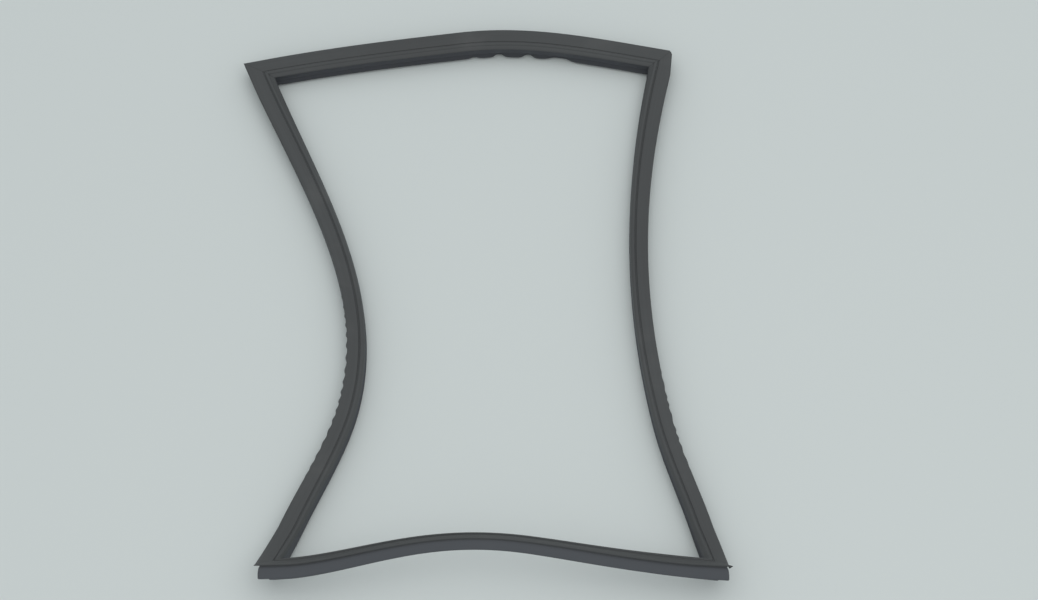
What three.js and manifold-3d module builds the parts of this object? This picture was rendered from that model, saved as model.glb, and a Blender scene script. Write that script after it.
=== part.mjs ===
// A refrigerator door gasket: one welded loop of soft PVC, with a flexible magnetic strip in the
// pocket of each of its four legs. The loop lies on its back, with the sealing face up. It is in
// millimetres, +Z up, and its origin is under the middle of the loop, on the surface that it lies on.
import * as THREE from "three";
import { mergeVertices } from "three/addons/utils/BufferGeometryUtils.js";
import Module from "manifold-3d";

// The loop in plan, before its lower end curls up. The widths and the length are measured between
// the corners, where two centre lines meet, and a rise is from a leg's left corner to its right one.
const BOTTOM_WIDTH = 474;
const TOP_WIDTH = 482;
const LOOP_LENGTH = 681.3;
const TOP_SHIFT = -42.5; // how far the top leg's middle is to the right of the bottom leg's
const BOTTOM_RISE = -2.5;
const TOP_RISE = 16.8;

// Each leg bends between its corners. A bow is how far its middle stands in from the straight
// line between the corners, and share is how far along that line this is. The angles are in degrees.
const BOTTOM_BEND = { startAngle: -2, endAngle: 14, share: 0.58, bow: 6, leanAngle: -4 };
const RIGHT_BEND = { startAngle: -1, endAngle: 16.5, share: 0.3, bow: 40.5, leanAngle: 8.5 };
const TOP_BEND = { startAngle: -13.5, endAngle: -11, share: 0.5, bow: -33.2, leanAngle: 6 };
const LEFT_BEND = { startAngle: 18, endAngle: 10.5, share: 0.68, bow: 90.5, leanAngle: -15.5 };
const END_PULL = 0.35; // how far a bend's straight run reaches from a corner, as a share of its half
const MIDDLE_PULL = 0.35; // the same, on each side of the bend's middle

// The lower end of the loop curls up off the surface, and its bottom leg arches a little further.
const CURL_REACH = 73.4; // from the bottom leg's corners to where the curl starts
const CURL_RADIUS = 94;
const ARCH_HEIGHT = 29.2;
const ARCH_PLACE = 0.455; // share of the bottom leg at which the arch is highest
const ARCH_SQUASH = 0.2; // share of the air chamber's height that the bend takes away there

// The section. Out is the distance outwards from the dart, and up is the height over its tip.
const DART_TIP_HALF = 0.8;
const DART_BARB_HALF = 2.9;
const DART_BARB_HEIGHT = 2.1;
const DART_NECK_HALF = 1.1;
const DART_NECK_HEIGHT = 2.6;
const BASE_BACK = 3.8; // height of the base's back, and so the length of the dart
const BASE_WALL = 1.5;
const BASE_OUT = 11.7;
const BASE_IN = 8.3;
const BASE_CHAMFER = 1;
const BASE_SIDE_WALL = 1.5;
const FLAP_WALL = 0.8; // the thin flap at the base's inner edge
const BAND_TOP = 21; // height of the flat band that seals against the cabinet
const BAND_OUT = 11;
const BAND_IN = 1.6;
const GROOVE_WIDTH = 1.5;
const GROOVE_DEPTH = 0.9;
const GROOVE_SLOPE = 0.6; // how far the groove's outer wall leans over its width
const RIDGE_WIDTH = 5;
const RIDGE_RISE = 1.2; // how far the rounded ridge stands over the band
const RIDGE_SHOULDER = 0.75; // from the ridge's side to where it is half as high
const RIDGE_CROWN = 1.7; // from the ridge's side to where its top is level
const SKIN = 1; // wall of the air chamber and of the ridge
const OUTER_LIP_LENGTH = 4.1;
const INNER_LIP_LENGTH = 5.2;
const INNER_LIP_DROP = 0.55; // how far the inner lip's root is under the band
const INNER_LIP_ROOT = 1.55; // thickness of that root
const LIP_WALL = 0.75;
const LIP_ROOT = 1.1; // thickness of the outer lip's root
const SIDE_GROOVE_DEPTH = 1.9; // the groove under the outer lip, inwards from the base's edge
const SIDE_GROOVE_LEDGE = 0.8; // how far the groove's lower ledge is in from that edge
const SIDE_GROOVE_FLOOR = 3.2; // height of the groove's back, under the outer lip
const FOLD_DEPTH = 2.4; // the fold in the inner wall
const FOLD_WALL = 1.2;

// The magnetic strip and the pocket that holds it.
const STRIP_WIDTH = 8.6;
const STRIP_THICKNESS = 2.6;
const STRIP_CLEARANCE = 0.3;
const STRIP_OUT = 4.1; // from the dart to the strip's middle
const POCKET_ROOF = 1;
const POCKET_FLOOR = 0.9;
const VENT_RADIUS = 1.2;
const VENT_SIDES = 10;
const VENT_PLACE = 0.5; // share of each leg at which its vent is punched

// How the thin edges hang along each leg: at its start, middle and end. The legs run
// counter-clockwise, seen from above. Droops are degrees below level, and flaps are widths.
const BOTTOM_EDGES = { outerDroop: [12, 22, 12], innerDroop: [72, 60, 66], flapWidth: [1.9, 3.7, 2.3] };
const RIGHT_EDGES = { outerDroop: [66, 79, 14], innerDroop: [45, 80, 24], flapWidth: [3.1, 0.7, 5.7] };
const TOP_EDGES = { outerDroop: [12, 8, 12], innerDroop: [14, 16, 14], flapWidth: [5.7, 5.7, 5.7] };
const LEFT_EDGES = { outerDroop: [10, 79, 12], innerDroop: [12, 68, 84], flapWidth: [6.1, 1.9, 0.7] };
const CORNER_DROOP = 8; // at a sharp corner the outer lip is drawn out flat
const WORN_CORNER_LIP = 2.5; // length of the outer lip that is left at the blunt top right corner
const WORN_CORNER_LEAN = { x: -0.45, y: 0.08 }; // how the outer half is pushed aside there, for each unit outwards
const WORN_CORNER_FADE = 0.6; // how much of that is left beside the weld
const CORNER_RUN = 5; // length of leg beside a corner over which the lip changes

// Bending crushes the thin edge on the inside of each bend. Runs are shares of the leg, and a bite
// is the share of the flap's width that a scallop takes away.
const LEFT_RIPPLES = { from: 0.36, to: 0.82, pitch: 14, reach: 0.9, lift: 0.5 };
const RIGHT_RIPPLES = { from: 0.2, to: 0.4, pitch: 13.6, reach: 0.7, lift: 0.4 };
const RIPPLE_STEPS = 4; // stations for each ripple
const RIPPLE_STRAY = 0.2; // how far the ripples stray from an even spacing, as a share of one
const RIPPLE_STRAYS = 3; // how often they stray this way and back over their run
const LONG_SCALLOP = 26;
const SHORT_SCALLOP = 12;
const FAINT_SCALLOP = 9;
const TOP_SCALLOPS = [
  { at: 0.252, width: LONG_SCALLOP, bite: 0.68 },
  { at: 0.332, width: SHORT_SCALLOP, bite: 0.8 },
  { at: 0.406, width: SHORT_SCALLOP, bite: 0.76 },
  { at: 0.47, width: FAINT_SCALLOP, bite: 0.32 },
];
const SCALLOP_LIFT = 1; // how far the flap would be lifted where a scallop took all of it
const SCALLOP_STEP = 4; // distance between stations in the scalloped run
const FINE_GAP = 0.8; // no extra station stands closer than this to another
const STATION_PITCH = 30; // distance between stations everywhere else

const pvc = new THREE.MeshStandardMaterial({ color: 0x4a4c4f, roughness: 0.62, metalness: 0 });
const ferrite = new THREE.MeshStandardMaterial({ color: 0x2b2622, roughness: 0.85, metalness: 0 });

const radians = THREE.MathUtils.degToRad;

const bottomLeft = new THREE.Vector2(-BOTTOM_WIDTH / 2, -(LOOP_LENGTH + BOTTOM_RISE) / 2);
const bottomRight = new THREE.Vector2(BOTTOM_WIDTH / 2, -(LOOP_LENGTH - BOTTOM_RISE) / 2);
const topRight = new THREE.Vector2(TOP_SHIFT + TOP_WIDTH / 2, (LOOP_LENGTH + TOP_RISE) / 2);
const topLeft = new THREE.Vector2(TOP_SHIFT - TOP_WIDTH / 2, (LOOP_LENGTH - TOP_RISE) / 2);
const curlStart = CURL_REACH - LOOP_LENGTH / 2;

// The direction that stands at an angle to the line from a corner to the next one.
function turned(line, degrees) {
  return line.clone().normalize().rotateAround(new THREE.Vector2(), radians(degrees));
}

// One leg's centre line: two smooth curves that meet at the middle of its bend.
function centreLine(from, to, bend) {
  const line = to.clone().sub(from);
  const middle = from.clone().addScaledVector(line, bend.share).addScaledVector(turned(line, 90), bend.bow);
  const before = line.length() * bend.share;
  const after = line.length() - before;
  const lean = turned(line, bend.leanAngle);
  const path = new THREE.CurvePath();
  path.add(
    new THREE.CubicBezierCurve(
      from,
      from.clone().addScaledVector(turned(line, bend.startAngle), before * END_PULL),
      middle.clone().addScaledVector(lean, -before * MIDDLE_PULL),
      middle,
    ),
  );
  path.add(
    new THREE.CubicBezierCurve(
      middle,
      middle.clone().addScaledVector(lean, after * MIDDLE_PULL),
      to.clone().addScaledVector(turned(line, -bend.endAngle), -after * END_PULL),
      to,
    ),
  );
  return path;
}

const legs = [
  { name: "bottom", from: bottomLeft, to: bottomRight, bend: BOTTOM_BEND, edges: BOTTOM_EDGES, arched: true },
  { name: "right", from: bottomRight, to: topRight, bend: RIGHT_BEND, edges: RIGHT_EDGES, ripples: RIGHT_RIPPLES },
  { name: "top", from: topRight, to: topLeft, bend: TOP_BEND, edges: TOP_EDGES, scallops: TOP_SCALLOPS, wornStart: true },
  { name: "left", from: topLeft, to: bottomLeft, bend: LEFT_BEND, edges: LEFT_EDGES, ripples: LEFT_RIPPLES },
];

legs.forEach((leg, i) => {
  leg.path = centreLine(leg.from, leg.to, leg.bend);
  leg.length = leg.path.getLength();
  leg.startTangent = leg.path.getTangentAt(0);
  leg.endTangent = leg.path.getTangentAt(1);
  leg.previous = legs[(i + legs.length - 1) % legs.length];
  leg.next = legs[(i + 1) % legs.length];
});

const outwards = (tangent) => new THREE.Vector2(tangent.y, -tangent.x);

// The slanted direction of the weld between two legs: it reaches one unit out from both of them.
function weldSlant(before, after) {
  const a = outwards(before);
  const b = outwards(after);
  return a.clone().add(b).divideScalar(1 + a.dot(b));
}

// How far the weld's slant reaches along a leg, for each unit outwards.
const slantRun = (before, after) => Math.abs(weldSlant(before, after).dot(after));

// Heights and widths that several of the section's points share.
const baseTop = BASE_BACK + BASE_WALL;
const pocketTop = BAND_TOP - POCKET_ROOF;
const pocketBottom = pocketTop - STRIP_THICKNESS - 2 * STRIP_CLEARANCE;
const pocketHalf = STRIP_WIDTH / 2 + STRIP_CLEARANCE;
const chamberTop = pocketBottom - POCKET_FLOOR;
const wallMiddle = (baseTop + chamberTop) / 2;
const ridgeOut = BAND_IN + GROOVE_WIDTH;
const ridgeIn = ridgeOut + RIDGE_WIDTH;
const ridgeTop = BAND_TOP + RIDGE_RISE;
const ridgeHalfway = BAND_TOP + RIDGE_RISE / 2;
const foldIn = ridgeIn + SKIN - FOLD_DEPTH;
const widestFlap = Math.max(...legs.flatMap((leg) => leg.edges.flapWidth));
const widest = Math.max(BAND_OUT + OUTER_LIP_LENGTH, ridgeIn + INNER_LIP_LENGTH, BASE_IN + widestFlap);

// A station is a place on the loop, with the direction that the section's width runs there. Beside
// a weld it runs along the weld's slant, and between squareFrom and squareTo it is square.
function stationsOf(leg) {
  const weldRun = widest * slantRun(leg.previous.endTangent, leg.startTangent);
  const nextWeldRun = widest * slantRun(leg.endTangent, leg.next.startTangent);
  const squareFrom = weldRun + CORNER_RUN;
  const squareTo = leg.length - nextWeldRun - CORNER_RUN;
  const slantIn = weldSlant(leg.previous.endTangent, leg.startTangent);
  const slantOut = weldSlant(leg.endTangent, leg.next.startTangent);
  const made = [
    { along: 0, side: slantIn },
    { along: CORNER_RUN, side: slantIn },
    { along: leg.length - CORNER_RUN, side: slantOut },
  ];
  const steps = Math.round((squareTo - squareFrom) / STATION_PITCH);
  for (let i = 0; i <= steps; i += 1) {
    made.push({ along: squareFrom + ((squareTo - squareFrom) * i) / steps, square: true });
  }
  for (const extra of fineStations(leg)) {
    const near = made.some((s) => Math.abs(s.along - extra.along) < FINE_GAP);
    if (!near) made.push(extra);
  }
  if (leg.wornStart) made[0].lean = 1;
  if (leg.wornStart) made[1].lean = WORN_CORNER_FADE;
  if (leg.next.wornStart) made[2].lean = WORN_CORNER_FADE;
  made.sort((a, b) => a.along - b.along);
  for (const station of made) {
    const share = station.along / leg.length;
    station.leg = leg;
    station.share = share;
    station.place = leg.path.getPointAt(share);
    station.side ??= outwards(leg.path.getTangentAt(share));
    station.outerSide = station.side.clone().addScaledVector(WORN_CORNER_LEAN, station.lean ?? 0);
  }
  leg.square = made.filter((s) => s.square);
  return made;
}

// The extra stations that the ripples and scallops of a thin edge need.
function fineStations(leg) {
  const wanted = [];
  if (leg.ripples) {
    const { from, to, pitch } = leg.ripples;
    const count = Math.round(((to - from) * leg.length) / pitch) * RIPPLE_STEPS;
    for (let i = 0; i <= count; i += 1) {
      wanted.push({ along: leg.length * (from + ((to - from) * i) / count), fine: "lip" });
    }
  }
  if (leg.scallops) {
    const from = Math.min(...leg.scallops.map((s) => s.at * leg.length - s.width));
    const to = Math.max(...leg.scallops.map((s) => s.at * leg.length + s.width));
    const count = Math.round((to - from) / SCALLOP_STEP);
    for (let i = 0; i <= count; i += 1) wanted.push({ along: from + ((to - from) * i) / count, fine: "flap" });
  }
  return wanted;
}

const stations = legs.flatMap(stationsOf);

// A value that is given at a leg's start, middle and end, anywhere between them.
function between([start, middle, end], share) {
  const centre = 4 * share * (1 - share);
  return (start * (1 - share) + end * share) * (1 - centre) + middle * centre;
}

// The wave of a rippled edge: it grows and dies away over its run.
function ripple(leg, share) {
  if (!leg.ripples || share < leg.ripples.from || share > leg.ripples.to) return 0;
  const { from, to, pitch } = leg.ripples;
  const run = (share - from) / (to - from);
  const count = Math.round(((to - from) * leg.length) / pitch);
  const stray = RIPPLE_STRAY * Math.sin(2 * Math.PI * RIPPLE_STRAYS * run);
  return Math.sin(2 * Math.PI * (count * run + stray)) * Math.sin(Math.PI * run) ** 0.5;
}

// How much of the flap the scallops take away: each is a smooth notch round its middle.
function biteAt({ leg, share }) {
  if (!leg.scallops) return 0;
  return leg.scallops.reduce((sum, s) => {
    const away = ((share - s.at) * leg.length) / (s.width / 2);
    return sum + s.bite / (1 + away ** 4);
  }, 0);
}

// The state of the thin edges at a station. A corner's is shared by the two legs that meet there.
function edgesAt(station) {
  const { leg, share, along } = station;
  const corner = along === 0;
  const shared = (name) => {
    const own = between(leg.edges[name], share);
    return corner ? (own + leg.previous.edges[name][2]) / 2 : own;
  };
  const wave = ripple(leg, share);
  const bite = biteAt(station);
  return {
    outerDroop: radians(corner && !leg.wornStart ? CORNER_DROOP : shared("outerDroop")),
    outerLength: corner && leg.wornStart ? WORN_CORNER_LIP : OUTER_LIP_LENGTH,
    innerDroop: radians(shared("innerDroop")),
    flap: shared("flapWidth") * (1 - bite),
    flapUp: BASE_BACK + bite * SCALLOP_LIFT,
    lift: leg.ripples ? -wave * leg.ripples.lift : 0,
    reach: leg.ripples ? wave * leg.ripples.reach : 0,
  };
}

// The outside of the section as [out, up] points, counter-clockwise. The points of the two thin
// edges that are crushed are named, because they have more stations than the rest.
function outside({ outerDroop, outerLength, innerDroop, flap, flapUp, lift, reach }) {
  const grooveOut = BASE_OUT - SIDE_GROOVE_DEPTH;
  const lipOut = BAND_OUT + outerLength * Math.cos(outerDroop) + reach;
  const lipUp = BAND_TOP - outerLength * Math.sin(outerDroop) + lift;
  const tipIn = ridgeIn + INNER_LIP_LENGTH * Math.cos(innerDroop);
  const tipUp = BAND_TOP - INNER_LIP_DROP - INNER_LIP_LENGTH * Math.sin(innerDroop);
  return [
    [DART_TIP_HALF, 0],
    [DART_BARB_HALF, DART_BARB_HEIGHT],
    [DART_NECK_HALF, DART_NECK_HEIGHT],
    [DART_NECK_HALF, BASE_BACK],
    [BASE_OUT - BASE_CHAMFER, BASE_BACK],
    [BASE_OUT, BASE_BACK + BASE_CHAMFER],
    [BASE_OUT, wallMiddle],
    [BASE_OUT - SIDE_GROOVE_LEDGE, chamberTop],
    [grooveOut, BAND_TOP - SIDE_GROOVE_FLOOR],
    [grooveOut, BAND_TOP - LIP_ROOT],
    [lipOut - LIP_WALL * Math.sin(outerDroop), lipUp - LIP_WALL * Math.cos(outerDroop), "lip"],
    [lipOut, lipUp, "lip"],
    [BAND_OUT, BAND_TOP],
    [-BAND_IN, BAND_TOP],
    [-BAND_IN - GROOVE_SLOPE, BAND_TOP - GROOVE_DEPTH],
    [-ridgeOut, BAND_TOP - GROOVE_DEPTH],
    [-ridgeOut - RIDGE_SHOULDER, ridgeHalfway],
    [-ridgeOut - RIDGE_CROWN, ridgeTop],
    [-ridgeIn + RIDGE_CROWN, ridgeTop],
    [-ridgeIn + RIDGE_SHOULDER, ridgeHalfway],
    [-ridgeIn, BAND_TOP - INNER_LIP_DROP],
    [-tipIn, tipUp],
    [-tipIn + LIP_WALL * Math.sin(innerDroop), tipUp - LIP_WALL * Math.cos(innerDroop)],
    [-ridgeIn, BAND_TOP - INNER_LIP_DROP - INNER_LIP_ROOT],
    [-ridgeIn, chamberTop],
    [-foldIn, wallMiddle],
    [-BASE_IN, baseTop],
    [-BASE_IN - flap, flapUp + FLAP_WALL, "flap"],
    [-BASE_IN - flap, flapUp, "flap"],
    [-BASE_IN, BASE_BACK],
    [-DART_NECK_HALF, BASE_BACK],
    [-DART_NECK_HALF, DART_NECK_HEIGHT],
    [-DART_BARB_HALF, DART_BARB_HEIGHT],
    [-DART_TIP_HALF, 0],
  ];
}

// The pocket for the strip, clockwise, because it is the wall of a hollow.
const pocket = [
  [STRIP_OUT - pocketHalf, pocketBottom],
  [STRIP_OUT - pocketHalf, pocketTop],
  [STRIP_OUT + pocketHalf, pocketTop],
  [STRIP_OUT + pocketHalf, pocketBottom],
];

// The air chamber under it, which reaches up into the ridge, clockwise too.
const chamber = [
  [-BASE_IN + BASE_SIDE_WALL, baseTop],
  [-foldIn + FOLD_WALL, wallMiddle],
  [-ridgeIn + SKIN, chamberTop],
  [-ridgeIn + RIDGE_CROWN, ridgeTop - SKIN],
  [-ridgeOut - RIDGE_CROWN, ridgeTop - SKIN],
  [-ridgeOut + SKIN, chamberTop],
  [BASE_OUT - SIDE_GROOVE_DEPTH - SKIN, chamberTop],
  [BASE_OUT - BASE_SIDE_WALL, wallMiddle],
  [BASE_OUT - BASE_SIDE_WALL, baseTop],
];

// How much of the bottom leg's arch there is at a station: none at its ends, and all at its place.
const archPower = Math.log(1 / 2) / Math.log(ARCH_PLACE);
const archShare = ({ leg, share }) => (leg.arched ? Math.sin(Math.PI * share ** archPower) ** 2 : 0);

// A point of the section at a station, with the loop's lower end curled up about a level axis.
// The arch lifts the section, and squashes what is under the pocket.
function placed(station, out, up) {
  const flat = station.place.clone().addScaledVector(out > 0 ? station.outerSide : station.side, out);
  const squash = Math.max(0, chamberTop - up) * ARCH_SQUASH;
  const height = up + (ARCH_HEIGHT + squash) * archShare(station);
  const angle = Math.max(0, curlStart - flat.y) / CURL_RADIUS;
  if (angle === 0) return new THREE.Vector3(flat.x, flat.y, height);
  const arm = CURL_RADIUS - height;
  return new THREE.Vector3(flat.x, curlStart - arm * Math.sin(angle), CURL_RADIUS - arm * Math.cos(angle));
}

// Collects the points and triangles of a closed surface.
class Surface {
  points = [];
  faces = [];

  add(point) {
    this.points.push(point.x, point.y, point.z);
    return this.points.length / 3 - 1;
  }

  // Fills the strip between two rows of points that run the same way, of any two lengths.
  strip(lower, upper) {
    let i = 0;
    let j = 0;
    while (i < lower.length - 1 || j < upper.length - 1) {
      if ((i + 0.5) / (lower.length - 1) <= (j + 0.5) / (upper.length - 1)) {
        this.faces.push(lower[i], lower[i + 1], upper[j]);
        i += 1;
      } else {
        this.faces.push(lower[i], upper[j + 1], upper[j]);
        j += 1;
      }
    }
  }

  // Closes an end with a fan over the ring of points there.
  fan(ring) {
    for (let k = 1; k < ring.length - 1; k += 1) this.faces.push(ring[0], ring[k], ring[k + 1]);
  }

  geometry() {
    const made = new THREE.BufferGeometry();
    made.setAttribute("position", new THREE.Float32BufferAttribute(this.points, 3));
    made.setIndex(this.faces);
    return made;
  }
}

// Carries a ring of section points round the whole loop. Rows of points that are named only
// have the extra stations of their own name, and the others have none.
function sweptLoop(surface, ringAt) {
  const rings = stations.map((station) => ringAt(station));
  const indices = rings.map((ring, i) =>
    ring.map(([out, up, name]) => {
      const wanted = !stations[i].fine || stations[i].fine === name;
      return wanted ? surface.add(placed(stations[i], out, up)) : null;
    }),
  );
  const coarse = stations.flatMap((station, i) => (station.fine ? [] : [i]));
  coarse.forEach((from, n) => {
    const to = n + 1 < coarse.length ? coarse[n + 1] : stations.length;
    const rows = indices[0].map((_, k) => {
      const row = indices.slice(from, to).map((ring) => ring[k]);
      row.push(indices[to % stations.length][k]);
      return row.filter((index) => index !== null);
    });
    rows.forEach((row, k) => surface.strip(row, rows[(k + 1) % rows.length]));
  });
}

// The strip's section, a clearance inside its pocket, counter-clockwise.
const stripSection = [
  [STRIP_OUT - STRIP_WIDTH / 2, pocketBottom + STRIP_CLEARANCE],
  [STRIP_OUT + STRIP_WIDTH / 2, pocketBottom + STRIP_CLEARANCE],
  [STRIP_OUT + STRIP_WIDTH / 2, pocketTop - STRIP_CLEARANCE],
  [STRIP_OUT - STRIP_WIDTH / 2, pocketTop - STRIP_CLEARANCE],
];

// The magnetic strip of one leg: it follows the pocket and ends square, short of both welds.
function magneticStrip(leg) {
  const surface = new Surface();
  const rings = leg.square.map((station) => stripSection.map(([out, up]) => surface.add(placed(station, out, up))));
  for (let i = 0; i < rings.length - 1; i += 1) {
    rings[i].forEach((index, k) => {
      const next = (k + 1) % stripSection.length;
      surface.strip([index, rings[i + 1][k]], [rings[i][next], rings[i + 1][next]]);
    });
  }
  surface.fan(rings[0]);
  surface.fan(rings[rings.length - 1].toReversed());
  const mesh = new THREE.Mesh(surface.geometry(), ferrite);
  mesh.name = "magnetic_strip_" + leg.name;
  return mesh;
}

const wasm = await Module();
wasm.setup();

// Turns a closed geometry into a solid that can be cut.
function solidOf(geometry) {
  const bare = geometry.clone();
  bare.deleteAttribute("normal");
  bare.deleteAttribute("uv");
  const merged = mergeVertices(bare, 1e-4);
  return new wasm.Manifold(
    new wasm.Mesh({
      numProp: 3,
      vertProperties: merged.attributes.position.array,
      triVerts: new Uint32Array(merged.index.array),
    }),
  );
}

function geometryOf(solid) {
  const mesh = solid.getMesh();
  const made = new THREE.BufferGeometry();
  made.setAttribute("position", new THREE.BufferAttribute(mesh.vertProperties, 3));
  made.setIndex(new THREE.BufferAttribute(mesh.triVerts, 1));
  return made;
}

// A vent punched through the base's back into the chamber, and on into the pocket's clearance.
function vent(leg) {
  const station = leg.square[Math.round((leg.square.length - 1) * VENT_PLACE)];
  const low = placed(station, STRIP_OUT, BASE_BACK - VENT_RADIUS);
  const high = placed(station, STRIP_OUT, pocketBottom + STRIP_CLEARANCE / 2);
  const drill = new THREE.CylinderGeometry(VENT_RADIUS, VENT_RADIUS, high.distanceTo(low), VENT_SIDES);
  const axis = high.clone().sub(low).normalize();
  drill.applyQuaternion(new THREE.Quaternion().setFromUnitVectors(new THREE.Vector3(0, 1, 0), axis));
  drill.translate((low.x + high.x) / 2, (low.y + high.y) / 2, (low.z + high.z) / 2);
  return solidOf(drill);
}

const skin = new Surface();
sweptLoop(skin, (station) => outside(edgesAt(station)));
sweptLoop(skin, () => pocket);
sweptLoop(skin, () => chamber);
const vented = legs.reduce((solid, leg) => solid.subtract(vent(leg)), solidOf(skin.geometry()));

const gasket = new THREE.Mesh(geometryOf(vented), pvc);
gasket.name = "gasket";

const loop = new THREE.Group();
loop.add(gasket, ...legs.map(magneticStrip));

// The origin is under the middle of the loop.
const box = new THREE.Box3().setFromObject(loop);
const middle = box.getCenter(new THREE.Vector3());
loop.position.set(-middle.x, -middle.y, -box.min.z);

const part = new THREE.Group();
part.add(loop);
export default part;
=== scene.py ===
# %% [markdown]
# # A refrigerator door gasket
#
# The real object is a soft loop of dark grey vinyl. One long extruded profile is cut into four
# legs, and the legs are welded at mitred corners. It lies loose, so it bends, its lower end curls
# up, and its thin lips are crushed where the loop bends most.
#
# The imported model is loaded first. It fixes where everything is, in metres, with +Z up.

# %% Load the frame
import math

import bmesh
import bpy
import numpy as np
from mathutils import Matrix, Vector


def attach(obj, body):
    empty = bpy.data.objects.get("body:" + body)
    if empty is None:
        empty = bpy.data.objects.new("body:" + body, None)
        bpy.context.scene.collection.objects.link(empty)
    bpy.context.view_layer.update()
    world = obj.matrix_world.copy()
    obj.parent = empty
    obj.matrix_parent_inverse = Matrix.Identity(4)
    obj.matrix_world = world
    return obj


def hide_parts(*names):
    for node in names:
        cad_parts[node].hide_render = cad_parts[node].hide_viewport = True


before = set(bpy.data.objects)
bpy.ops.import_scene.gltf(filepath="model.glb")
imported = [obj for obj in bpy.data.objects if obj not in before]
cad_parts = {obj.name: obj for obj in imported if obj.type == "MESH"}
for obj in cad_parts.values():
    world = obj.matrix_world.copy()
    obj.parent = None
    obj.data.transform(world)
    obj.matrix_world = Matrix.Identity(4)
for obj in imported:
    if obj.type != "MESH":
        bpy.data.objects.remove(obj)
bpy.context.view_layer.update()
print("nodes:", ", ".join(sorted(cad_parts)))

# %% [markdown]
# ## The camera
#
# The picture is taken from in front and above, 60 degrees over the surface. The distance and the
# lens were found from the loop itself: opposite legs of a door gasket are equally long, and this
# is the camera for which they are.

# %% Place the camera
LOOP_CENTRE = np.array([0.025618, -0.026098])  # from the loop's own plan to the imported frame
CAMERA_DISTANCE = 2.8465
CAMERA_TILT = math.radians(30)
AIM = np.array([0.0526, -0.0066, 0.012])

camera_data = bpy.data.cameras.new("camera")
camera_data.sensor_width = 36
camera_data.lens = 86.6
camera_data.clip_end = 50
camera = bpy.data.objects.new("camera", camera_data)
camera.location = AIM + CAMERA_DISTANCE * np.array([0, -math.sin(CAMERA_TILT), math.cos(CAMERA_TILT)])
camera.rotation_euler = (CAMERA_TILT, 0, 0)
bpy.context.scene.collection.objects.link(camera)
bpy.context.scene.camera = camera
bpy.context.scene.view_settings.view_transform = "Standard"
print("camera at", [round(v, 3) for v in camera.location])

# %% [markdown]
# ## The loop's centre line
#
# Each leg is two cubic curves that meet at the middle of its bend. A curve is worked out as whole
# arrays, and its length is measured from many small steps, so that a place on it can be asked for
# by its distance along the leg.

# %% Leg curves
MM = 0.001
CORNERS = {
    "bottom_left": np.array([-237.0, -339.4]) * MM,
    "bottom_right": np.array([237.0, -341.9]) * MM,
    "top_right": np.array([198.5, 349.05]) * MM,
    "top_left": np.array([-283.5, 332.25]) * MM,
}
END_PULL = 0.35
MIDDLE_PULL = 0.35


def turned(line, degrees):
    """The direction of a line, turned counter-clockwise by an angle in degrees."""
    angle = math.radians(degrees)
    across = np.array([-line[1], line[0]])
    return (line * math.cos(angle) + across * math.sin(angle)) / np.hypot(*line)


def cubic(a, b, c, d, steps=400):
    """Points of a cubic curve: the control points weighted by (1-t)^3, 3t(1-t)^2, 3t^2(1-t) and t^3."""
    t = np.linspace(0, 1, steps)[:, None]
    return a * (1 - t) ** 3 + 3 * b * t * (1 - t) ** 2 + 3 * c * t**2 * (1 - t) + d * t**3


class Leg:
    """One leg of the loop: its curve, its length, and the state of its thin edges.

    The angles are those at the start, at the middle of the bend and at the end, from the straight
    line between the corners. The ripples are a start and an end as shares of the leg, a pitch, and
    how far they swing outwards and upwards, in millimetres.
    """

    def __init__(self, name, start, end, angles, share, bow, droops, flap, ripples=None):
        line = end - start
        size = np.hypot(*line)
        middle = start + line * share + turned(line, 90) * bow * MM
        before, after = size * share, size * (1 - share)
        lean = turned(line, angles[1])
        leaving = start + turned(line, angles[0]) * before * END_PULL
        arriving = end - turned(line, -angles[2]) * after * END_PULL
        first = cubic(start, leaving, middle - lean * before * MIDDLE_PULL, middle)
        last = cubic(middle, middle + lean * after * MIDDLE_PULL, arriving, end)
        self.name = name
        self.points = np.vstack([first, last[1:]])
        self.run = np.append(0, np.cumsum(np.hypot(*np.diff(self.points, axis=0).T)))
        self.length = self.run[-1]
        self.droops = droops
        self.flap = flap
        self.ripples = ripples

    def place(self, along):
        """Points on the curve at distances along it."""
        return np.stack([np.interp(along, self.run, self.points[:, k]) for k in (0, 1)], axis=1)

    def tangent(self, along):
        """Unit directions of travel, from two places a millimetre apart."""
        ahead = self.place(np.clip(along + MM / 2, 0, self.length))
        behind = self.place(np.clip(along - MM / 2, 0, self.length))
        return (ahead - behind) / np.linalg.norm(ahead - behind, axis=1, keepdims=True)


legs = [
    Leg("bottom", CORNERS["bottom_left"], CORNERS["bottom_right"], (-2, -4, 14), 0.58, 6,
        {"outer": (12, 22, 12), "inner": (72, 60, 66)}, (1.9, 3.7, 2.3)),
    Leg("right", CORNERS["bottom_right"], CORNERS["top_right"], (-1, 8.5, 16.5), 0.3, 40.5,
        {"outer": (66, 79, 14), "inner": (45, 80, 24)}, (3.1, 0.7, 5.7), (0.2, 0.4, 13.6, 0.7, 0.4)),
    Leg("top", CORNERS["top_right"], CORNERS["top_left"], (-13.5, 6, -11), 0.5, -33.2,
        {"outer": (12, 8, 12), "inner": (14, 16, 14)}, (5.7, 5.7, 5.7)),
    Leg("left", CORNERS["top_left"], CORNERS["bottom_left"], (18, -15.5, 10.5), 0.68, 90.5,
        {"outer": (10, 79, 12), "inner": (12, 68, 84)}, (6.1, 1.9, 0.7), (0.36, 0.82, 14, 0.9, 0.5)),
]
print("leg lengths in mm:", {leg.name: round(leg.length / MM, 1) for leg in legs})

# %% [markdown]
# ## Stations round the loop
#
# A station is a place where the profile is drawn. They stand close together where a lip is
# crushed, because each small wave needs about eight of them, and further apart where the leg is
# smooth. Beside a weld the profile is drawn on the weld's own slant.

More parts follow.
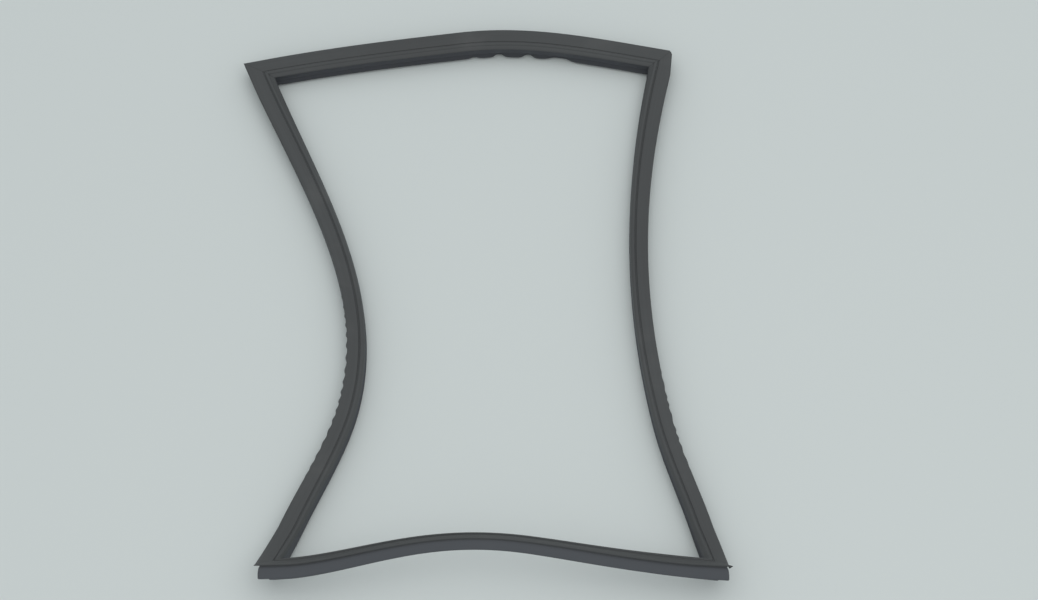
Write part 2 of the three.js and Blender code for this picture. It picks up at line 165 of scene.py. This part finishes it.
# %% Stations
WIDEST = 15.1 * MM
WORN_CORNER_LEAN = np.array([-0.45, 0.08])  # how the blunt corner's outer half is pushed aside
WORN_CORNER_FADE = 0.6  # how much of that is left beside the weld
SCALLOP_RUN = (0.19, 0.5)  # the shares of the top leg between which the scallops are
CORNER_RUN = 5 * MM
SMOOTH_STEP = 6 * MM
CRUSHED_STEP = 1.65 * MM
SCALLOPS = ((0.252, 26, 0.68), (0.332, 12, 0.8), (0.406, 12, 0.76), (0.47, 9, 0.32))  # share, width, bite


def outwards(tangent):
    """The direction to the right of travel, which is out of the loop."""
    return np.stack([tangent[..., 1], -tangent[..., 0]], axis=-1)


def weld_slant(before, after):
    """The direction along a weld, one unit out from both legs: their sum over one plus their product."""
    a, b = outwards(before), outwards(after)
    return (a + b) / (1 + a @ b)


def spread(start, end, step):
    """Evenly spaced distances from start to end, about a step apart."""
    return np.linspace(start, end, max(2, int(round((end - start) / step)) + 1))


def worn_share(leg, following, along):
    """How far the blunt top right corner is pushed aside: 1 at the weld, less beside it, 0 further on."""
    if leg.name == "top":
        gap = along
    elif following.name == "top":
        gap = leg.length - along
    else:
        return np.zeros(len(along))
    return np.where(gap <= CORNER_RUN + MM / 100, 1 - (1 - WORN_CORNER_FADE) * gap / CORNER_RUN, 0)


def leg_stations(leg, previous, following):
    """Distances, places and width directions of one leg's stations, the outer half's direction last."""
    start, finish = leg.tangent(np.array([0.0, leg.length]))
    slant_in = weld_slant(previous.tangent(np.array([previous.length]))[0], start)
    slant_out = weld_slant(finish, following.tangent(np.array([0.0]))[0])
    square_from = WIDEST * abs(slant_in @ start) + CORNER_RUN
    square_to = leg.length - WIDEST * abs(slant_out @ finish) - CORNER_RUN
    runs = [spread(square_from, square_to, SMOOTH_STEP)]
    if leg.ripples:
        runs.append(spread(leg.length * leg.ripples[0], leg.length * leg.ripples[1], CRUSHED_STEP))
    if leg.name == "top":
        runs.append(spread(leg.length * SCALLOP_RUN[0], leg.length * SCALLOP_RUN[1], CRUSHED_STEP))
    square = np.unique(np.concatenate(runs))
    square = square[np.append(True, np.diff(square) > CRUSHED_STEP / 3)]
    ends = np.array([0, 0.2, 0.5, 1]) * CORNER_RUN
    along = np.concatenate([ends, square, leg.length - ends[:0:-1]])
    side = outwards(leg.tangent(along))
    side[: len(ends)] = slant_in
    side[-len(ends) + 1 :] = slant_out
    outer_side = side + WORN_CORNER_LEAN * worn_share(leg, following, along)[:, None]
    return along, leg.place(along), side, outer_side


made = [leg_stations(leg, legs[i - 1], legs[(i + 1) % 4]) for i, leg in enumerate(legs)]
along = np.concatenate([m[0] for m in made])
place = np.vstack([m[1] for m in made])
side = np.vstack([m[2] for m in made])
outer_side = np.vstack([m[3] for m in made])
leg_of = np.repeat(np.arange(4), [len(m[0]) for m in made])
lengths = np.array([leg.length for leg in legs])
share = along / lengths[leg_of]
weld_gap = np.minimum(along, lengths[leg_of] - along)
print("stations:", len(along))

# %% [markdown]
# ## The state of the thin edges
#
# The lips droop more where a leg is bent. On the inside of a bend the outer lip has more length
# than room, so it gathers into small waves. Along the top leg the inner flap is bitten by a few
# scallops, as if it had been crushed against something.

# %% Lips, waves and scallops
TOP = 2  # the top leg's place in the list of legs
OUTER_LIP_LENGTH = 4.08
WORN_CORNER_LIP = 2.5
CORNER_DROOP = 8  # at a sharp corner the outer lip is drawn out nearly flat
BASE_BACK = 3.8  # height of the base's back, and so the length of the dart


def between(values, s):
    """A smooth run through the values at a leg's start, middle and end."""
    centre = 4 * s * (1 - s)
    return (values[0] * (1 - s) + values[2] * s) * (1 - centre) + values[1] * centre


def at_stations(pick):
    """A value along every leg. At a corner it is the mean of the two legs that meet there."""
    own = np.concatenate([between(pick(leg), share[leg_of == i]) for i, leg in enumerate(legs)])
    for i, leg in enumerate(legs):
        first = np.flatnonzero((leg_of == i) & (along == 0))[0]
        own[first] = (own[first] + pick(legs[i - 1])[2]) / 2
    return own


outer_droop = np.radians(at_stations(lambda leg: leg.droops["outer"]))
inner_droop = np.radians(at_stations(lambda leg: leg.droops["inner"]))
flap = at_stations(lambda leg: leg.flap)
outer_length = np.full(len(along), OUTER_LIP_LENGTH)
outer_droop[(leg_of != TOP) & (along == 0)] = math.radians(CORNER_DROOP)
outer_length[(leg_of == TOP) & (along == 0)] = WORN_CORNER_LIP

RIPPLE_STRAY = 0.2  # how far the waves stray from an even spacing, as a share of one
RIPPLE_STRAYS = 3
lift = np.zeros(len(along))
reach = np.zeros(len(along))
for i, leg in enumerate(legs):
    if not leg.ripples:
        continue
    start, end, pitch, out, up = leg.ripples
    here = (leg_of == i) & (share >= start) & (share <= end)
    run = (share[here] - start) / (end - start)
    count = round((end - start) * leg.length / MM / pitch)
    stray = RIPPLE_STRAY * np.sin(2 * np.pi * RIPPLE_STRAYS * run)
    swing = np.sin(2 * np.pi * (count * run + stray)) * np.sin(np.pi * run).clip(0) ** 0.5
    reach[here] = out * swing
    lift[here] = -up * swing

bite = np.zeros(len(along))
on_top = leg_of == TOP
for middle, width, depth in SCALLOPS:
    away = (share[on_top] - middle) * legs[TOP].length / MM / (width / 2)
    bite[on_top] += depth / (1 + away**4)
flap *= 1 - bite
flap_up = BASE_BACK + bite
print("deepest bite:", round(bite.max(), 2), "widest wave:", round(np.abs(reach).max(), 2), "mm")

# %% [markdown]
# ## The profile
#
# The profile is one closed outline: dart, base, side groove, outer lip, flat sealing band,
# groove, rounded ridge, inner lip, folded inner wall and flap. It is given as corner points, for
# all stations at once, and then each corner is rounded, because extruded vinyl has no sharp
# corner. Out is away from the loop's middle, and up is over the dart's tip, in millimetres.

# %% Profile corners at every station
DART_TIP, DART_BARB, DART_NECK = 0.8, 2.9, 1.1  # half widths
BARB_UP, NECK_UP = 2.1, 2.6
BASE_OUT, BASE_IN, CHAMFER = 11.7, 8.3, 1.0
CHAMBER_TOP, WALL_MIDDLE, BASE_TOP = 15.9, 10.6, 5.3
LEDGE_OUT, SIDE_GROOVE_OUT, SIDE_GROOVE_UP = 10.9, 9.8, 17.8
BAND_TOP, BAND_OUT, BAND_IN = 21.0, 11.0, 1.6
GROOVE_OUT, GROOVE_UP = 2.2, 20.1
RIDGE_OUT, RIDGE_IN, RIDGE_HALFWAY, RIDGE_TOP = 3.1, 8.1, 21.6, 22.2
SHOULDER, CROWN = 0.75, 1.7  # from the ridge's side to where it is half as high, and level
FOLD_IN = 6.7
LIP_WALL, LIP_ROOT, FLAP_WALL = 0.75, 1.1, 0.8
INNER_LIP_LENGTH, INNER_LIP_UP, INNER_LIP_UNDER = 5.2, 20.45, 18.9


def profile_corners():
    """The outline's corners for every station, counter-clockwise, and each corner's rounding radius."""
    lip_out = BAND_OUT + outer_length * np.cos(outer_droop) + reach
    lip_up = BAND_TOP - outer_length * np.sin(outer_droop) + lift
    tip_in = RIDGE_IN + INNER_LIP_LENGTH * np.cos(inner_droop)
    tip_up = INNER_LIP_UP - INNER_LIP_LENGTH * np.sin(inner_droop)
    rows = [
        (DART_TIP, 0, 0.4), (DART_BARB, BARB_UP, 0.3), (DART_NECK, NECK_UP, 0.25),
        (DART_NECK, BASE_BACK, 0.3), (BASE_OUT - CHAMFER, BASE_BACK, 0.5),
        (BASE_OUT, BASE_BACK + CHAMFER, 0.6), (BASE_OUT, WALL_MIDDLE, 2.5), (LEDGE_OUT, CHAMBER_TOP, 0.7),
        (SIDE_GROOVE_OUT, SIDE_GROOVE_UP, 0.6), (SIDE_GROOVE_OUT, BAND_TOP - LIP_ROOT, 0.4),
        (lip_out - LIP_WALL * np.sin(outer_droop), lip_up - LIP_WALL * np.cos(outer_droop), 0.25),
        (lip_out, lip_up, 0.25), (BAND_OUT, BAND_TOP, 1.6), (-BAND_IN, BAND_TOP, 0.4),
        (-GROOVE_OUT, GROOVE_UP, 0.3), (-RIDGE_OUT, GROOVE_UP, 0.3),
        (-RIDGE_OUT - SHOULDER, RIDGE_HALFWAY, 0.6), (-RIDGE_OUT - CROWN, RIDGE_TOP, 0.8),
        (-RIDGE_IN + CROWN, RIDGE_TOP, 0.8), (-RIDGE_IN + SHOULDER, RIDGE_HALFWAY, 0.6),
        (-RIDGE_IN, INNER_LIP_UP, 0.4), (-tip_in, tip_up, 0.25),
        (-tip_in + LIP_WALL * np.sin(inner_droop), tip_up - LIP_WALL * np.cos(inner_droop), 0.25),
        (-RIDGE_IN, INNER_LIP_UNDER, 0.35), (-RIDGE_IN, CHAMBER_TOP, 1.2),
        (-FOLD_IN, WALL_MIDDLE, 1.5), (-BASE_IN, BASE_TOP, 0.4),
        (-BASE_IN - flap, flap_up + FLAP_WALL, 0.25), (-BASE_IN - flap, flap_up, 0.25),
        (-BASE_IN, BASE_BACK, 0.5), (-DART_NECK, BASE_BACK, 0.3), (-DART_NECK, NECK_UP, 0.25),
        (-DART_BARB, BARB_UP, 0.3), (-DART_TIP, 0, 0.4),
    ]
    blank = np.zeros(len(along))
    corners = np.stack([np.stack([blank + out, blank + up], axis=1) for out, up, _ in rows], axis=1)
    return corners, np.array([radius for _, _, radius in rows])


def rounded(corners, radii, steps):
    """Each corner becomes a curve: (1-t)^2 of a point before it, 2t(1-t) of it, t^2 of one after it."""
    to_last = np.roll(corners, 1, axis=1) - corners
    to_next = np.roll(corners, -1, axis=1) - corners
    last_size = np.linalg.norm(to_last, axis=2, keepdims=True)
    next_size = np.linalg.norm(to_next, axis=2, keepdims=True)
    cut = np.minimum(radii[None, :, None], 0.45 * np.minimum(last_size, next_size))
    start = corners + to_last / last_size * cut
    end = corners + to_next / next_size * cut
    t = np.linspace(0, 1, steps + 1)[None, None, :, None]
    curves = start[:, :, None] * (1 - t) ** 2 + end[:, :, None] * t**2
    curves += 2 * corners[:, :, None] * t * (1 - t)
    return curves.reshape(len(corners), -1, 2)


ROUNDING = 3
LIP_CORNERS = (10, 11, 21, 22, 27, 28)  # the corners at the two lips' edges and the flap's
corners, radii = profile_corners()
on_tip = np.isin(np.arange(len(radii)), LIP_CORNERS)
profile = rounded(corners, radii, ROUNDING)
print("profile points:", profile.shape[1])

# %% [markdown]
# ## Bending the loop up
#
# The flat loop is bent last. Past a level line near its lower end it rolls up round a cylinder,
# and the bottom leg arches a little further. Both are formulas on whole arrays.

# %% Carry the profile round the loop
CURL_START = -0.26725
CURL_RADIUS = 0.094
ARCH_HEIGHT = 0.02915
ARCH_SQUASH = 0.2  # share of the air chamber's height that the bend takes away at the arch
ARCH_PLACE = 0.455  # share of the bottom leg at which the arch is highest
ARCH_POWER = math.log(0.5) / math.log(ARCH_PLACE)


def bent(flat, height):
    """Rolls what lies past the curl's start round a level cylinder: the distance past it becomes an angle."""
    angle = np.maximum(0, CURL_START - flat[..., 1]) / CURL_RADIUS
    arm = CURL_RADIUS - height
    y = np.where(angle > 0, CURL_START - arm * np.sin(angle), flat[..., 1])
    z = np.where(angle > 0, CURL_RADIUS - arm * np.cos(angle), height)
    return np.stack([flat[..., 0], y, z], axis=-1)


arch = np.where(leg_of == 0, np.sin(np.pi * share**ARCH_POWER) ** 2, 0)[:, None]
squash = np.maximum(0, CHAMBER_TOP - profile[..., 1]) * MM * ARCH_SQUASH
towards = np.where(profile[..., :1] > 0, outer_side[:, None, :], side[:, None, :])
flat = place[:, None, :] + towards * profile[..., :1] * MM
skin = bent(flat, profile[..., 1] * MM + (ARCH_HEIGHT + squash) * arch)
skin[..., :2] += LOOP_CENTRE
print("skin from", skin.reshape(-1, 3).min(0).round(4), "to", skin.reshape(-1, 3).max(0).round(4))

# %% [markdown]
# ## From a grid of points to a mesh
#
# The points make a grid that closes on itself both ways, like a ring doughnut. Its faces are
# found by index arithmetic. The finish needs to know where it is, so the distance along the loop
# and round the profile is kept as a UV map, and three more measures as attributes: how far a point
# is from the nearest weld, its height in the profile, and whether it is on the edge of a lip.

# %% Mesh helper


def ring_mesh(name, grid, uv, smooth_below=40):
    """A mesh from a grid that closes both ways: faces join (i, k), (i+1, k), (i+1, k+1) and (i, k+1)."""
    n, m = grid.shape[:2]
    i, k = np.meshgrid(np.arange(n), np.arange(m), indexing="ij")
    j, l = (i + 1) % n, (k + 1) % m
    faces = np.stack([i * m + k, j * m + k, j * m + l, i * m + l], axis=-1).reshape(-1, 4)
    mesh = bpy.data.meshes.new(name)
    mesh.vertices.add(n * m)
    mesh.vertices.foreach_set("co", grid.reshape(-1).astype(np.float32))
    mesh.loops.add(faces.size)
    mesh.loops.foreach_set("vertex_index", faces.reshape(-1).astype(np.int32))
    mesh.polygons.add(len(faces))
    mesh.polygons.foreach_set("loop_start", np.arange(0, faces.size, 4, dtype=np.int32))
    mesh.update(calc_edges=True)
    mesh.validate()
    layer = mesh.uv_layers.new(name="skin")
    corner_uv = np.stack([uv[a, b] for a, b in ((i, k), (i + 1, k), (i + 1, k + 1), (i, k + 1))], axis=2)
    layer.data.foreach_set("uv", corner_uv.reshape(-1).astype(np.float32))
    mesh.polygons.foreach_set("use_smooth", np.ones(len(faces), dtype=bool))
    mesh.set_sharp_from_angle(angle=math.radians(smooth_below))
    return mesh


round_trip = np.vstack([place, place[:1]])
steps_along = np.append(0, np.cumsum(np.linalg.norm(np.diff(round_trip, axis=0), axis=1)))
loop_profile = np.concatenate([profile, profile[:, :1]], axis=1)
steps_round = np.cumsum(np.linalg.norm(np.diff(loop_profile, axis=1), axis=2), axis=1).mean(axis=0) * MM
uv = np.stack(np.meshgrid(steps_along, np.append(0, steps_round), indexing="ij"), axis=-1)
gasket_mesh = ring_mesh("vinyl_gasket", skin, uv)
weld = gasket_mesh.attributes.new("weld_gap", "FLOAT", "POINT")
weld.data.foreach_set("value", np.repeat(weld_gap, profile.shape[1]).astype(np.float32))
height = gasket_mesh.attributes.new("profile_up", "FLOAT", "POINT")
height.data.foreach_set("value", (profile[..., 1].reshape(-1) * MM).astype(np.float32))
tip = gasket_mesh.attributes.new("lip_tip", "FLOAT", "POINT")
tip.data.foreach_set("value", np.tile(np.repeat(on_tip, ROUNDING + 1), len(along)).astype(np.float32))
gasket = bpy.data.objects.new("vinyl_gasket", gasket_mesh)
bpy.context.scene.collection.objects.link(gasket)
print("triangles:", 2 * len(gasket_mesh.polygons))

# %% [markdown]
# ## Vents
#
# Air has to leave the profile when the door shuts, so a small hole is punched through the back of
# the base in the middle of each leg. Four short cylinders are cut out of the skin with a Boolean,
# because a hole of this kind is what a real punch leaves. The cutter is thrown away afterwards.

# %% Punch the vents
VENT_RADIUS = 1.2 * MM
VENT_OUT = 4.1  # from the dart to the vent
VENT_FROM, VENT_TO = 2.6, 6.8  # heights in the profile: from below the base's back to just inside


def vent_axis(leg_index):
    """The two ends of a vent's cylinder: two heights at the leg's middle station, bent up as the skin is."""
    n = np.argmin(np.abs(share - 0.5) + 9 * (leg_of != leg_index))
    ups = np.array([VENT_FROM, VENT_TO])
    heights = ups * MM + (ARCH_HEIGHT + (CHAMBER_TOP - ups) * MM * ARCH_SQUASH) * arch[n]
    ends = bent(np.tile(place[n] + side[n] * VENT_OUT * MM, (2, 1)), heights)
    ends[:, :2] += LOOP_CENTRE
    return Vector(ends[0]), Vector(ends[1])


cutter_mesh = bpy.data.meshes.new("vent_punch")
punch = bmesh.new()
for leg_index in range(4):
    low, high = vent_axis(leg_index)
    turn = (high - low).to_track_quat("Z", "Y").to_matrix().to_4x4()
    bmesh.ops.create_cone(punch, cap_ends=True, segments=24, radius1=VENT_RADIUS, radius2=VENT_RADIUS,
                          depth=(high - low).length, matrix=Matrix.Translation((low + high) / 2) @ turn)
punch.to_mesh(cutter_mesh)
punch.free()
cutter = bpy.data.objects.new("vent_punch", cutter_mesh)
bpy.context.scene.collection.objects.link(cutter)
cut = gasket.modifiers.new("vents", "BOOLEAN")
cut.operation = "DIFFERENCE"
cut.solver = "MANIFOLD"
cut.object = cutter
bpy.context.view_layer.update()
vented = bpy.data.meshes.new_from_object(gasket.evaluated_get(bpy.context.evaluated_depsgraph_get()))
print("faces before and after the vents:", len(gasket_mesh.polygons), len(vented.polygons))
gasket.modifiers.clear()
gasket.data = vented
bpy.data.objects.remove(cutter)
bpy.data.meshes.remove(gasket_mesh)
gasket_mesh = vented
gasket_mesh.name = "vinyl_gasket"
gasket_mesh.materials.clear()
gasket_mesh.polygons.foreach_set("material_index", np.zeros(len(gasket_mesh.polygons), dtype=np.int32))

# %% [markdown]
# ## Writing a material as sums
#
# A finish is a formula on numbers that vary over the surface. A small class wraps one socket, so
# that a formula can be written as an expression, and one method makes any other node.

# %% Shader helper


class Wire:
    """One output socket of a material, with the arithmetic that the finishes use."""

    def __init__(self, tree, socket):
        self.tree = tree
        self.socket = socket

    def node(self, kind, settings=None, **inputs):
        """Makes a node: its settings first, then its sockets, given by name or as i and a number."""
        made = self.tree.nodes.new(kind)
        for key, value in (settings or {}).items():
            setattr(made, key, value)
        for key, value in inputs.items():
            by_number = key[0] == "i" and key[1:].isdigit()
            socket = made.inputs[int(key[1:]) if by_number else key.replace("_", " ")]
            if isinstance(value, Wire):
                self.tree.links.new(value.socket, socket)
            else:
                socket.default_value = value
        return made

    def sum(self, operation, first, second):
        """One step of arithmetic on two numbers or wires."""
        made = self.node("ShaderNodeMath", {"operation": operation}, i0=first, i1=second)
        return Wire(self.tree, made.outputs[0])

    def __add__(self, other):
        return self.sum("ADD", self, other)

    __radd__ = __add__

    def __sub__(self, other):
        return self.sum("SUBTRACT", self, other)

    def __rsub__(self, other):
        return self.sum("SUBTRACT", other, self)

    def __mul__(self, other):
        return self.sum("MULTIPLY", self, other)

    __rmul__ = __mul__

    def band(self, low, high):
        """0 below low and 1 above high, with a smooth step between."""
        smooth = {"interpolation_type": "SMOOTHSTEP"}
        made = self.node("ShaderNodeMapRange", smooth, i0=self, i1=low, i2=high)
        return Wire(self.tree, made.outputs[0])

    def blend(self, first, second):
        """The first colour where this is 0 and the second where it is 1."""
        made = self.node("ShaderNodeMix", {"data_type": "RGBA"}, i0=self, i6=first, i7=second)
        return Wire(self.tree, made.outputs[2])


def new_material(name):
    """An empty material with its main shader, and a wire to start from."""
    material = bpy.data.materials.new(name)
    material.use_nodes = True
    tree = material.node_tree
    shader = tree.nodes["Principled BSDF"]
    return material, shader, Wire(tree, None)


def attribute(wire, name):
    """A measure that the mesh carries."""
    made = wire.node("ShaderNodeAttribute", {"attribute_name": name})
    return Wire(wire.tree, made.outputs["Fac"])


def noise(wire, vector, scale, detail=3.0, roughness=0.5):
    """Smooth random values between 0 and 1, finer where the scale is larger."""
    sockets = {"Vector": vector, "Scale": scale, "Detail": detail, "Roughness": roughness}
    made = wire.node("ShaderNodeTexNoise", None, **sockets)
    return Wire(wire.tree, made.outputs["Fac"])


def stretched(wire, vector, scale):
    """A vector scaled by its own amount on each axis, which draws a pattern out into streaks."""
    made = wire.node("ShaderNodeMapping", None, Vector=vector, Scale=scale)
    return Wire(wire.tree, made.outputs["Vector"])


# %% [markdown]
# ## Soft vinyl
#
# Old soft vinyl is a dull dark grey with a broad weak shine. The extruder's die leaves fine
# streaks that run along the profile, handling leaves paler smudges, and each weld leaves a faint
# line. The edges of the lips are darkened as painted shade, and everything below the sealing band
# is painted a little lighter and bluer, as painted bounce light from the pale floor. The streaks
# follow the UV map, so that they run with the legs.

# %% Vinyl finish
vinyl, shader, wire = new_material("soft_vinyl")
skin_uv = Wire(wire.tree, wire.node("ShaderNodeUVMap", {"uv_map": "skin"}).outputs["UV"])
place_on = Wire(wire.tree, wire.node("ShaderNodeTexCoord").outputs["Object"])
up = attribute(wire, "profile_up")
lip_tip = attribute(wire, "lip_tip")
weld_distance = attribute(wire, "weld_gap")

streaks = noise(wire, stretched(wire, skin_uv, (3.0, 900.0, 1.0)), 1.0, 2.0)
wide_streaks = noise(wire, stretched(wire, skin_uv, (2.0, 240.0, 1.0)), 1.0, 2.0)
smudges = noise(wire, place_on, 14.0, 4.0, 0.6)
clouds = noise(wire, place_on, 3.0, 2.0)
grain = noise(wire, place_on, 900.0, 2.0)

tone = 0.25 * streaks + 0.25 * wide_streaks + 0.5 * clouds
colour = tone.band(0.3, 0.7).blend((0.056, 0.058, 0.058, 1), (0.072, 0.076, 0.076, 1))
colour = (smudges.band(0.5, 0.8) * 0.5).blend(colour, (0.098, 0.1, 0.098, 1))
# Painted bounce light: below the sealing band the colour is made lighter and bluer, standing in for light
# thrown back from the pale floor onto the walls and base.
painted_bounce_below_band = up.band(0.0185, 0.0165)
colour = (painted_bounce_below_band * 0.6).blend(colour, (0.08, 0.087, 0.101, 1))
# Painted shade: the lips' edges are darkened, standing in for the shadow along the lips' undersides.
colour = (lip_tip * lip_tip * lip_tip * 0.55).blend(colour, (0.03, 0.032, 0.034, 1))
weld_line = 1 - weld_distance.band(0.0003, 0.0011)
colour = (weld_line * 0.35).blend(colour, (0.03, 0.031, 0.032, 1))
wire.tree.links.new(colour.socket, shader.inputs["Base Color"])

dullness = 0.5 + 0.14 * smudges + 0.1 * wide_streaks
wire.tree.links.new(dullness.socket, shader.inputs["Roughness"])
relief = 0.5 * streaks + 0.6 * wide_streaks + 0.25 * grain - 1.2 * weld_line
bump = wire.node("ShaderNodeBump", None, Strength=0.35, Distance=0.00012, Height=relief)
wire.tree.links.new(bump.outputs["Normal"], shader.inputs["Normal"])
shader.inputs["Specular IOR Level"].default_value = 0.4
gasket_mesh.materials.append(vinyl)
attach(gasket, "root")
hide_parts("gasket")
print("finish:", vinyl.name)

# %% [markdown]
# ## Magnetic strips
#
# A flexible strip of ferrite powder in rubber sits in each leg's pocket. It is nearly black
# brown and matte, with a fine pressed grain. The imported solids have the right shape, so they keep
# it and only get this finish.

# %% Ferrite finish
ferrite, ferrite_shader, ferrite_wire = new_material("bonded_ferrite")
where = Wire(ferrite_wire.tree, ferrite_wire.node("ShaderNodeTexCoord").outputs["Object"])
powder = noise(ferrite_wire, where, 1500.0, 3.0)
patches = noise(ferrite_wire, where, 30.0, 3.0)
mottle = (0.5 * powder + 0.5 * patches).band(0.3, 0.7)
ferrite_colour = mottle.blend((0.016, 0.013, 0.011, 1), (0.034, 0.028, 0.024, 1))
ferrite_wire.tree.links.new(ferrite_colour.socket, ferrite_shader.inputs["Base Color"])
ferrite_bump = ferrite_wire.node("ShaderNodeBump", None, Strength=0.3, Distance=0.00005, Height=powder)
ferrite_wire.tree.links.new(ferrite_bump.outputs["Normal"], ferrite_shader.inputs["Normal"])
ferrite_shader.inputs["Roughness"].default_value = 0.8
strips = [node for name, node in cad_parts.items() if name.startswith("magnetic_strip")]
for strip in strips:
    strip.data.materials.clear()
    strip.data.materials.append(ferrite)
print("strips:", len(strips))

# %% [markdown]
# ## Surface and light
#
# The gasket lies on a plain pale surface under broad soft light. The world gives most of the
# light, and one large lamp, over the loop and a little to the front right, gives the soft shadow.

# %% Floor
floor_half = 6.0
floor_mesh = bpy.data.meshes.new("floor")
floor_corners = [(x * floor_half, y * floor_half, 0) for x, y in ((-1, -1), (1, -1), (1, 1), (-1, 1))]
floor_mesh.from_pydata(floor_corners, [], [(0, 1, 2, 3)])
floor = bpy.data.objects.new("floor", floor_mesh)
bpy.context.scene.collection.objects.link(floor)
pale, pale_shader, _ = new_material("pale_surface")
pale_shader.inputs["Base Color"].default_value = (0.68, 0.72, 0.7, 1)
pale_shader.inputs["Roughness"].default_value = 0.8
floor_mesh.materials.append(pale)

# %% Lamps
world = bpy.data.worlds.new("room")
world.use_nodes = True
room_light = world.node_tree.nodes["Background"]
room_light.inputs["Color"].default_value = (0.93, 0.97, 1.0, 1)
room_light.inputs["Strength"].default_value = 0.7
bpy.context.scene.world = world


def soft_lamp(name, spot, size, power):
    """A square area lamp at a spot, turned to the middle of the loop."""
    data = bpy.data.lights.new(name, "AREA")
    data.size = size
    data.energy = power
    lamp = bpy.data.objects.new(name, data)
    lamp.location = spot
    spot = np.array(spot)
    lamp.rotation_euler = (math.acos(spot[2] / np.linalg.norm(spot)), 0, math.atan2(spot[0], -spot[1]))
    bpy.context.scene.collection.objects.link(lamp)
    return lamp


soft_lamp("key_lamp", (0.4, -0.5, 2.6), 3.0, 16)
print("lamps set")
